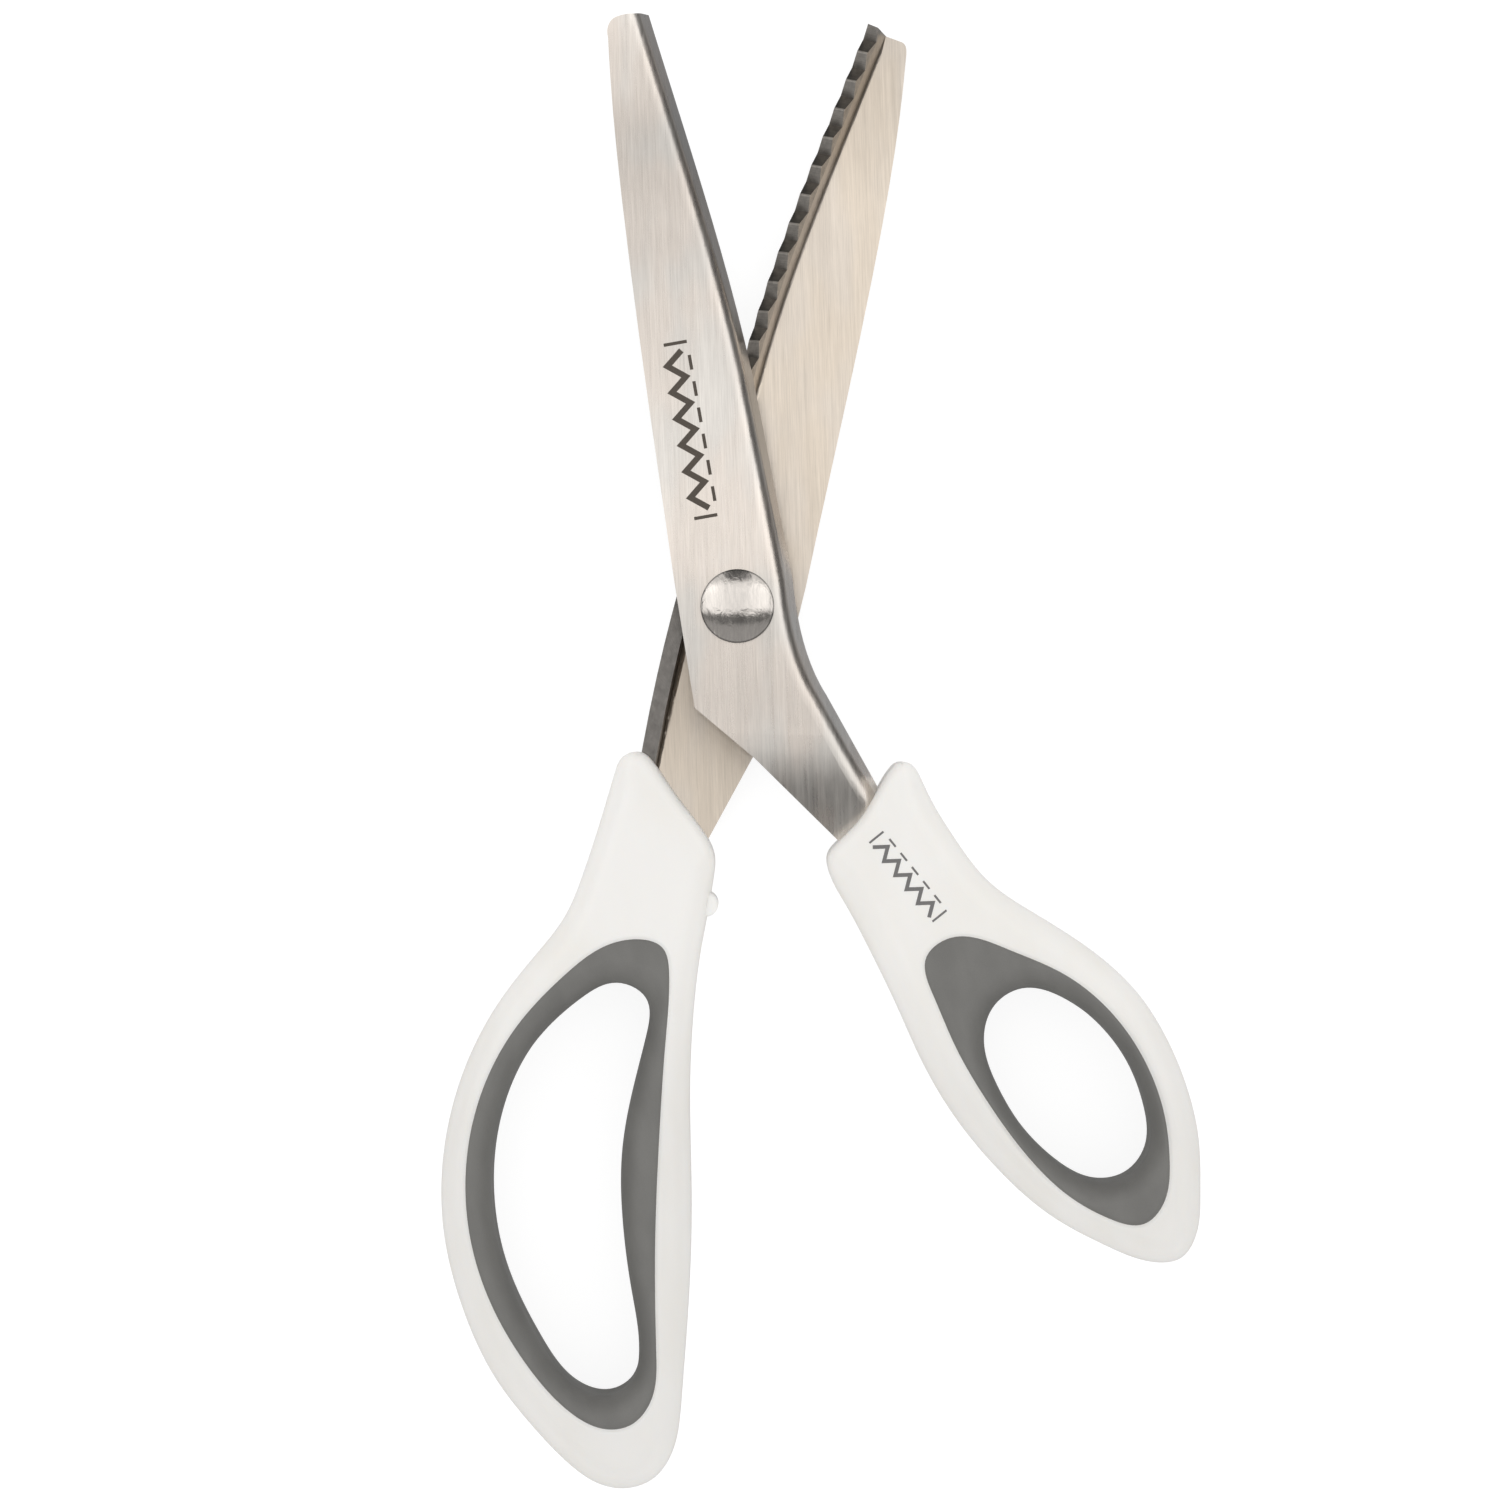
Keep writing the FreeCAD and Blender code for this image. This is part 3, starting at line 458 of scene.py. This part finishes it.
FINISHES = {
    "upper_blade": upper_steel, "lower_blade": lower_steel,
    "upper_spacer": painted_shade_spacer_steel, "lower_spacer": painted_shade_spacer_steel,
    "pivot_bush": bush_brass, "thrust_washer": nylon, "spring_washer": nut_steel,
    "pivot_screw": screw_steel, "pivot_nut": nut_steel, "stop_bumper": bumper_plastic,
}
for name, finish in FINISHES.items():
    mesh = frame["nodes"][name].data
    mesh.materials.clear()
    mesh.materials.append(finish)

# Sharp edges of the pressed steel are slightly broken.
EDGE_BREAK = 0.12
SHARP_ANGLE = 28
for name in ("upper_blade", "lower_blade"):
    edge_break = frame["nodes"][name].modifiers.new("edge_break", "BEVEL")
    edge_break.width = EDGE_BREAK * MM
    edge_break.segments = 2
    edge_break.limit_method = "ANGLE"
    edge_break.angle_limit = math.radians(SHARP_ANGLE)
    edge_break.harden_normals = True
    edge_break.use_clamp_overlap = True

# ------------------------------------------------------------------ moulded handles
# Lengths are in millimetres. A handle's face is closed by a rounded rim outside and one in the hole.
OUTLINE_STEP = 0.7
RIM_WIDTH, RIM_DEPTH = 4.3, 5.0
HOLE_RIM_WIDTH, HOLE_RIM_DEPTH = 3.8, 4.6
# The outer rim is narrower and shallower by this at the mouth, where the tang goes in.
MOUTH_WIDTH_CUT, MOUTH_DEPTH_CUT = 2.6, 3.2
MOUTH_REACH = 7.0
SEAM_DEPTH = 0.22
SEAM_WIDTH = 0.32
# Points on the face: rows round the rim's quarter turn, rows beside the seam, and a triangular grid.
RIM_ROWS = 9
SEAM_ROWS = (0.10, 0.22, 0.36, 0.55, 0.85)
ROW_CLEARANCE = 0.16
GRID_STEP = 1.1
GRID_ROW_SHARE = 0.87
GRID_CLEARANCE = 0.7
LEAST_GAP = 0.07
SLOPE_STEP = 0.01


def smooth_loop(points, step):
    """Points on the smooth closed curve through the given ones, about a step apart."""
    knots = np.array(points, float)
    count = len(knots)
    after = np.roll(knots, -1, 0)
    run = np.linalg.norm(after - knots, axis=1)
    system = np.zeros((count, count))
    bends = np.zeros((count, 2))
    for i in range(count):
        j = (i + 1) % count
        system[i, i - 1] += run[i - 1]
        system[i, i] += 2 * (run[i - 1] + run[i])
        system[i, j] += run[i]
        bends[i] = 6 * ((knots[j] - knots[i]) / run[i] - (knots[i] - knots[i - 1]) / run[i - 1])
    curl = np.linalg.solve(system, bends)
    pieces = []
    for i in range(count):
        j = (i + 1) % count
        steps = max(1, round(run[i] / step))
        share = np.arange(steps) / steps
        a, b = (1 - share)[:, None], share[:, None]
        pieces.append(a * knots[i] + b * knots[j]
                      + ((a ** 3 - a) * curl[i] + (b ** 3 - b) * curl[j]) * run[i] ** 2 / 6)
    loop = np.vstack(pieces)
    area = 0.5 * np.sum(loop[:, 0] * np.roll(loop[:, 1], -1) - np.roll(loop[:, 0], -1) * loop[:, 1])
    return loop if area > 0 else loop[::-1]


def inward_normals(loop):
    run = np.roll(loop, -1, 0) - np.roll(loop, 1, 0)
    run /= np.linalg.norm(run, axis=1)[:, None]
    return np.column_stack([-run[:, 1], run[:, 0]])


def inside(points, loop):
    """True for points inside the closed loop."""
    x, y = points[:, 0][:, None], points[:, 1][:, None]
    x0, y0 = loop[:, 0], loop[:, 1]
    x1, y1 = np.roll(x0, -1), np.roll(y0, -1)
    crosses = (y0 > y) != (y1 > y)
    where = x0 + (y - y0) * (x1 - x0) / np.where(y1 == y0, 1e-12, y1 - y0)
    return np.sum(crosses & (x < where), axis=1) % 2 == 1


def to_loop(points, loop):
    """Distances of points to each stretch of a loop, and how far along each stretch they fall."""
    start = loop[None]
    run = (np.roll(loop, -1, 0) - loop)[None]
    away = points[:, None] - start
    along = np.clip(np.sum(away * run, 2) / np.sum(run * run, 2), 0, 1)
    return np.linalg.norm(away - along[..., None] * run, axis=2), along


def gap_to(points, loop):
    """Distance of each point to the nearest place on a loop."""
    return to_loop(points, loop)[0].min(axis=1)


class Border:
    """Closed border whose rim is rounded; the rounding's width and depth vary along it."""

    def __init__(self, loop, width, depth):
        self.loop = loop
        self.width = np.broadcast_to(width, len(loop)).astype(float)
        self.depth = np.broadcast_to(depth, len(loop)).astype(float)

    def drop(self, points):
        """How far the rounded rim lies below the face."""
        gap, along = to_loop(points, self.loop)
        width = self.width + along * (np.roll(self.width, -1) - self.width)
        depth = self.depth + along * (np.roll(self.depth, -1) - self.depth)
        rest = np.clip(1 - gap / width, 0, 1)
        return (depth * (1 - np.sqrt(1 - rest ** 2))).max(axis=1)


class Moulding:
    """Handle face: a height above the meeting plane for every point of the half's frame."""

    def __init__(self, outer, seam, hole):
        self.outer, self.seam, self.hole = outer, seam, hole

    def height(self, points):
        fall = np.maximum(self.outer.drop(points), self.hole.drop(points))
        groove = SEAM_DEPTH * np.exp(-(gap_to(points, self.seam) / SEAM_WIDTH) ** 2)
        return HALF_THICK - fall - groove

    def normals(self, points):
        step = SLOPE_STEP
        east = self.height(points + (step, 0)) - self.height(points - (step, 0))
        north = self.height(points + (0, step)) - self.height(points - (0, step))
        tilt = np.column_stack([-east / (2 * step), -north / (2 * step), np.ones(len(points))])
        return tilt / np.linalg.norm(tilt, axis=1)[:, None]


def rows_beside(loop, offsets, other, area):
    """Points of loops set in from a border, where nothing else is nearer."""
    kept = []
    inward = inward_normals(loop)
    for offset in offsets:
        row = loop + inward * offset
        row = row[area(row)]
        clear = gap_to(row, loop) > abs(offset) * 0.985
        clear &= gap_to(row, other) > ROW_CLEARANCE
        kept.append(row[clear])
    return np.vstack(kept)


def thinned(points, gap):
    """Points with near duplicates dropped, first come first kept."""
    cells, kept = {}, []
    for x, y in points:
        home = (math.floor(x / gap), math.floor(y / gap))
        near = [cells.get((home[0] + i, home[1] + j), []) for i in (-1, 0, 1) for j in (-1, 0, 1)]
        if all((x - u) ** 2 + (y - v) ** 2 > gap ** 2 for cell in near for u, v in cell):
            cells.setdefault(home, []).append((x, y))
            kept.append((x, y))
    return np.array(kept)


def loop_edges(count, start=0):
    """Index pairs of the edges of a closed loop of points."""
    return [(start + i, start + (i + 1) % count) for i in range(count)]


def face_points(rim_width, outside, opening, outside_is_rim, area):
    """Points between two loops: rows along the rounded rim, rows beside the seam, and a grid."""
    side = 1 if outside_is_rim else -1
    rim, seam = (outside, opening) if outside_is_rim else (opening, outside)
    turns = [math.radians(90 * k / RIM_ROWS) for k in range(1, RIM_ROWS + 1)]
    rounding = [side * (rim_width * (1 - math.cos(turn))) for turn in turns]
    rows = [rows_beside(rim, rounding, seam, area),
            rows_beside(seam, [-side * row for row in SEAM_ROWS], rim, area)]
    low, high = outside.min(0), outside.max(0)
    grid = np.array([(x + (GRID_STEP / 2 if row % 2 else 0), y)
                     for row, y in enumerate(np.arange(low[1], high[1], GRID_STEP * GRID_ROW_SHARE))
                     for x in np.arange(low[0], high[0], GRID_STEP)])
    grid = grid[area(grid)]
    free = (gap_to(grid, outside) > GRID_CLEARANCE) & (gap_to(grid, opening) > GRID_CLEARANCE)
    return thinned(np.vstack(rows + [grid[free]]), LEAST_GAP)


def face_triangles(name, rim_width, outside, opening, outside_is_rim):
    """Flat points, the two loops' own first, and triangles between the loops."""
    def area(points):
        return inside(points, outside) & ~inside(points, opening)

    loose = face_points(rim_width, outside, opening, outside_is_rim, area)
    spots = np.vstack([outside, opening, loose])
    fences = loop_edges(len(outside)) + loop_edges(len(opening), len(outside))
    cells = delaunay_2d_cdt([Vector(spot) for spot in spots], fences, [], 0, 1e-6)
    flat = np.array([tuple(spot) for spot in cells[0]])
    if len(flat) != len(spots):
        raise RuntimeError(f"{name}: the outline crosses itself")
    centres = np.array([flat[list(corners)].mean(0) for corners in cells[2]])
    return flat, [tuple(corners) for corners, good in zip(cells[2], area(centres)) if good]


def ring_piece(name, moulding, outside, opening, outside_is_rim, upper, finish):
    """Closed ring between two loops: both faces and both side walls, with exact normals."""
    rim = moulding.outer if outside_is_rim else moulding.hole
    flat, triangles = face_triangles(name, rim.width.max(), outside, opening, outside_is_rim)
    first, second, count = len(outside), len(opening), len(flat)
    heights = moulding.height(flat)
    tilts = moulding.normals(flat)
    # The rim itself faces straight out.
    edge = slice(0, first) if outside_is_rim else slice(first, first + second)
    way = -inward_normals(outside) if outside_is_rim else inward_normals(opening)
    tilts[edge] = np.column_stack([way, np.zeros(len(way))])
    vertices = np.vstack([placed(flat, heights, upper), placed(flat, -heights, upper)])
    normals = np.vstack([turned(tilts, upper), turned(tilts * (1, 1, -1), upper)])
    faces = triangles + [tuple(count + corner for corner in reversed(corners)) for corners in triangles]
    faces += [(j, i, count + i, count + j) for i, j in loop_edges(first)]
    faces += [(i, j, count + j, count + i) for i, j in loop_edges(second, first)]
    piece = new_solid(name, vertices, faces, finish)
    if piece.data.validate():
        raise RuntimeError(f"{name}: bad faces")
    piece.data.polygons.foreach_set("use_smooth", [True] * len(faces))
    piece.data.normals_split_custom_set_from_vertices([tuple(normal) for normal in normals])
    return piece


def near_mouth(loop, start, end, reach):
    """1 beside the straight mouth between two points, 0 further off than reach."""
    start, end = np.array(start), np.array(end)
    run = end - start
    along = np.clip((loop - start) @ run / (run @ run), 0, 1)
    gap = np.linalg.norm(loop - start - along[:, None] * run, axis=1)
    share = np.clip(1 - gap / reach, 0, 1)
    return share * share * (3 - 2 * share)


def make_handle(shell_name, grip_name, outline, grip, hole, mouth, upper):
    """White shell and grey grip ring of one handle, in place of the two CAD nodes."""
    body = "thumb_half" if upper else "finger_half"
    outline, seam, hole = [smooth_loop(points, OUTLINE_STEP) for points in (outline, grip, hole)]
    at_mouth = near_mouth(outline, *mouth, MOUTH_REACH)
    moulding = Moulding(
        Border(outline, RIM_WIDTH - MOUTH_WIDTH_CUT * at_mouth, RIM_DEPTH - MOUTH_DEPTH_CUT * at_mouth),
        seam, Border(hole, HOLE_RIM_WIDTH, HOLE_RIM_DEPTH))
    shell = ring_piece(shell_name + "_shell", moulding, outline, seam, True, upper, white_plastic)
    pad = ring_piece(grip_name + "_pad", moulding, seam, hole, False, upper, grey_rubber)
    for piece, replaced, slot in ((shell, shell_name, "white_plastic"), (pad, grip_name, "grey_soft")):
        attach(piece, body)
        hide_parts(replaced)


make_handle("small_handle", "small_grip", SMALL_HANDLE, SMALL_GRIP, THUMB_HOLE,
            ((20.5, -29.5), (8.3, -39.7)), True)
make_handle("large_handle", "large_grip", LARGE_HANDLE, LARGE_GRIP, FINGER_HOLE,
            ((9.6, -27.1), (-5.4, -38.0)), False)

# ------------------------------------------------------------------ etched and printed ornament
# Shares of the zigzag's pitch or stroke.
STITCH_START = 0.22
STITCH_LENGTH = 0.56
END_BAR_GAP = 0.3
THIN_STROKE = 0.55
FILM_THICKNESS = 0.015


def ribbon(line, width):
    """Mitred band of a given width along a line, as (left, right) edge points."""
    line = np.array(line, float)
    run = np.diff(line, axis=0)
    run /= np.linalg.norm(run, axis=1)[:, None]
    sides = np.column_stack([-run[:, 1], run[:, 0]])
    corners = (sides[:-1] + sides[1:]) / (1 + np.sum(sides[:-1] * sides[1:], 1))[:, None]
    mitre = np.vstack([sides[:1], corners, sides[-1:]])
    return line + mitre * width / 2, line - mitre * width / 2


def ornament(name, bands, height, upper, finish):
    """Thin raised film made of closed bands, each a (line, width), on a flat face at a height."""
    vertices, faces = [], []
    for line, width in bands:
        edges = np.vstack(ribbon(line, width))
        count, base = len(edges) // 2, len(vertices)
        for level in (height, height + FILM_THICKNESS):
            vertices.extend(placed(edges, np.full(2 * count, level), upper))
        for i in range(count - 1):
            quad = (base + i, base + i + 1, base + count + i + 1, base + count + i)
            faces += [quad, tuple(2 * count + corner for corner in reversed(quad))]
        rim = list(range(count)) + list(range(2 * count - 1, count - 1, -1))
        faces += [(base + a, base + b, base + 2 * count + b, base + 2 * count + a)
                  for a, b in zip(rim, rim[1:] + rim[:1])]
    piece = new_solid(name, vertices, faces, finish)
    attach(piece, "thumb_half" if upper else "finger_half")


def along(start, end, marks):
    """Points given as (distance along, distance to the left) of the line from start to end."""
    start, end = np.array(start, float), np.array(end, float)
    way = (end - start) / np.linalg.norm(end - start)
    return [start + way * run + np.array([-way[1], way[0]]) * off for run, off in marks]


def stitched_zigzag(start, end, pitch, swing, stroke, stitch_off):
    """Zigzag line with a row of stitches beside it and a bar across each end."""
    length = math.dist(start, end)
    count = round(length / pitch)
    marks = [(pitch * k / 2, swing if k % 2 else -swing) for k in range(2 * count + 1)]
    bands = [(along(start, end, marks), stroke)]
    for k in range(count):
        run = pitch * (k + STITCH_START)
        stitch = [(run, stitch_off), (run + STITCH_LENGTH * pitch, stitch_off)]
        bands.append((along(start, end, stitch), stroke * THIN_STROKE))
    far_side = -math.copysign(swing, stitch_off)
    for run in (-pitch * END_BAR_GAP, length + pitch * END_BAR_GAP):
        bands.append((along(start, end, [(run, far_side), (run, stitch_off)]), stroke * THIN_STROKE))
    return bands


ornament("blade_etching", stitched_zigzag((-3.0, 16.0), (-3.0, 41.2), 4.2, 1.3, 0.95, -2.4),
         PLATE_HEIGHT, True, etched_steel)
ornament("handle_print", stitched_zigzag((15.2, -40.6), (22.0, -53.0), 2.83, 0.95, 0.6, 1.9),
         HALF_THICK, True, pad_ink)

# ------------------------------------------------------------------ floor, light, camera
# Metres.
FLOOR_REACH = 3.0
FLOOR_HEIGHT = -0.0003
FLOOR_GLOW = 0.84
# Millimetres: the point looked at, the camera's height over the meeting plane, and the width seen.
VIEW_CENTRE = (1.99, -22.66)
VIEW_HEIGHT = 650.0
VIEW_WIDTH = 238.5
SENSOR_WIDTH = 36.0
# Brightness of the tent that lights everything, and of what shows in the steel as a mirror.
TENT = 1.06
MIRROR_BASE = 0.105
MIRROR_PANEL = 0.965
MIRROR_FRONT = 0.24
MIRROR_BELOW = 0.24
MIRROR_CORNERS = 0.70
# The corner lights on the tips' side reach this much higher.
CORNER_LIFT = 0.22


def make_floor():
    """Plain pale floor that glows softly and does not show in the steel."""
    made, tree, shader = material("lit_acrylic", Roughness=0.9, Emission_Color=(1, 1, 1, 1),
                                  Emission_Strength=FLOOR_GLOW)
    mottle = noise(tree, stretched(tree, 0.0, (60.0, 60.0, 60.0)), 3.0)
    tree.links.new(blend_colours(tree, mottle, (0.24, 0.24, 0.24, 1), (0.26, 0.26, 0.26, 1)),
                   shader.inputs["Base Color"])
    corners = [(x * FLOOR_REACH, y * FLOOR_REACH, FLOOR_HEIGHT)
               for x, y in ((-1, -1), (1, -1), (1, 1), (-1, 1))]
    floor = new_solid("floor", corners, [(0, 1, 2, 3)], made)
    floor.visible_glossy = False


def mirrored_room(tree):
    """Brightness by direction: a broad panel overhead, dim front and floor, and four corner lights."""
    x, y, z = split(tree, node(tree, "ShaderNodeTexCoord").outputs["Generated"])
    up = maths(tree, "MAXIMUM", z, 0.001)
    u = maths(tree, "ABSOLUTE", maths(tree, "DIVIDE", x, up))
    v = maths(tree, "DIVIDE", y, up)
    panel = product(
        tree, remap(tree, v, -0.30, -0.06), remap(tree, v, 0.76, 1.16, 1.0, 0.0),
        remap(tree, u, 1.4, 2.1, 1.0, 0.0), remap(tree, u, 0.15, 0.8, 1.0, 1.3), remap(tree, z, 0.0, 0.02))
    front = product(tree, remap(tree, v, -0.45, -0.58), remap(tree, z, 0.10, 0.35))
    below = remap(tree, z, -0.10, -0.45)
    slant = maths(tree, "DIVIDE", maths(tree, "ABSOLUTE", v), maths(tree, "MAXIMUM", u, 0.001))
    height = maths(tree, "MULTIPLY_ADD", maths(tree, "GREATER_THAN", v, 0.0), -CORNER_LIFT, z)
    corners = product(
        tree, remap(tree, slant, 0.45, 0.8), remap(tree, slant, 2.0, 3.2, 1.0, 0.0),
        remap(tree, height, 0.34, 0.50, 1.0, 0.0), remap(tree, z, 0.02, 0.14))
    total = MIRROR_BASE
    for light, strength in ((panel, MIRROR_PANEL), (front, MIRROR_FRONT), (below, MIRROR_BELOW),
                            (corners, MIRROR_CORNERS)):
        total = maths(tree, "MULTIPLY_ADD", light, strength, total)
    return total


def make_world():
    """Even white tent for soft light, with a darker room of lights for the steel to mirror."""
    world = bpy.data.worlds.new("studio")
    bpy.context.scene.world = world
    world.use_nodes = True
    tree = world.node_tree
    tree.nodes.clear()
    glossy = node(tree, "ShaderNodeLightPath").outputs["Is Glossy Ray"]
    strength = blend_values(tree, glossy, TENT, mirrored_room(tree))
    sky = node(tree, "ShaderNodeBackground", {0: (1, 1, 1, 1), 1: strength})
    node(tree, "ShaderNodeOutputWorld", {0: sky.outputs[0]})


def make_camera():
    """Camera straight above, looking down with the tips at the top."""
    camera = new_object("camera", bpy.data.cameras.new("camera"))
    camera.location = [length * MM for length in (*VIEW_CENTRE, MID_HEIGHT + VIEW_HEIGHT)]
    camera.data.sensor_width = SENSOR_WIDTH
    camera.data.lens = SENSOR_WIDTH * VIEW_HEIGHT / VIEW_WIDTH
    camera.data.clip_start = 0.01
    camera.data.clip_end = 20.0
    bpy.context.scene.camera = camera


make_floor()
make_world()
make_camera()
bpy.context.scene.view_settings.view_transform = "Standard"
